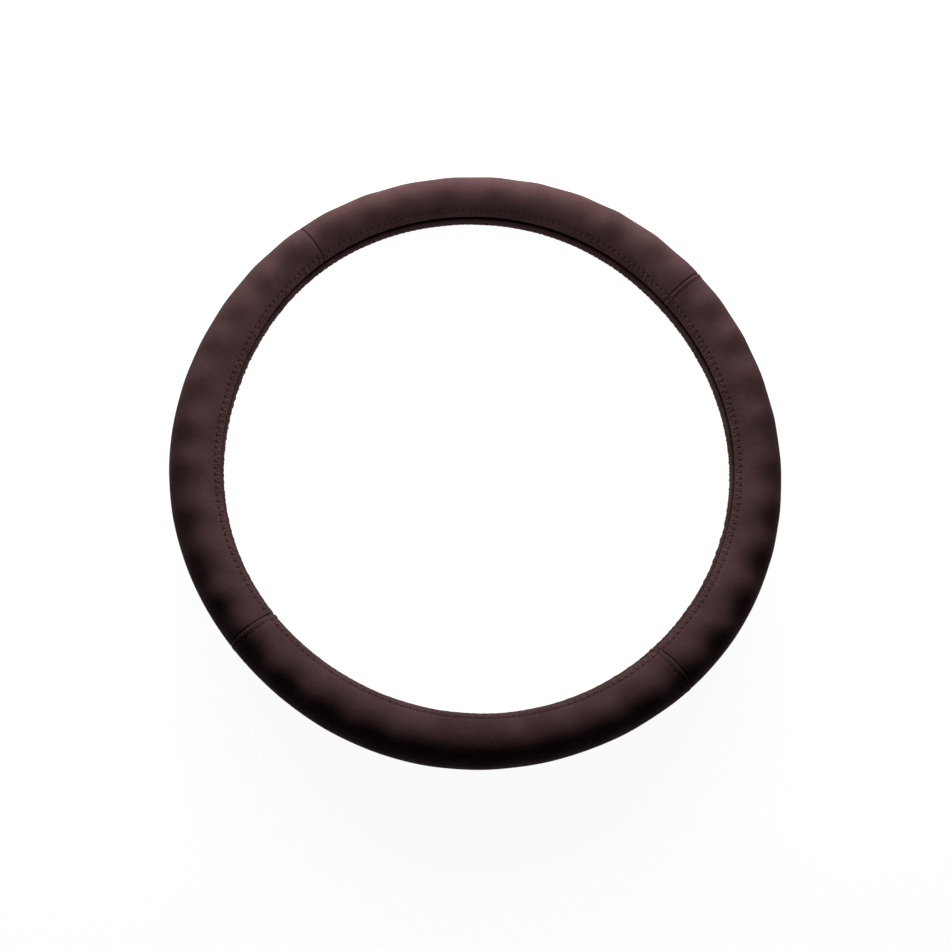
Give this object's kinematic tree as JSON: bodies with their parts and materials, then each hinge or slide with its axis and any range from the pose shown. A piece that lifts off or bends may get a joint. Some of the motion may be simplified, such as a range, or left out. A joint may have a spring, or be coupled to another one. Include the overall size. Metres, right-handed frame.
{
  "type": "steering wheel cover",
  "caption": "Soft padded leather ring that slips over a steering wheel's rim, open along a slit on its hub side, with shallow finger waves round its front.",
  "frame": {"origin": "centre of the ring on the plane that it lies on, at its back face", "axes": "+Z along the ring's axis towards its front face; +X to the middle of the right panel, +Y to the middle of the top panel, so the cross seams lie between the axes"},
  "size_m": [0.3874, 0.3874, 0.0359],
  "materials": {
    "leather": "satin",
    "rubber": "matte"
  },
  "bodies": {
    "root": {"leather_panel_right": "leather", "leather_panel_top": "leather", "leather_panel_left": "leather", "leather_panel_bottom": "leather", "rubber_grip_ring": "rubber"}
  },
  "joints": []
}
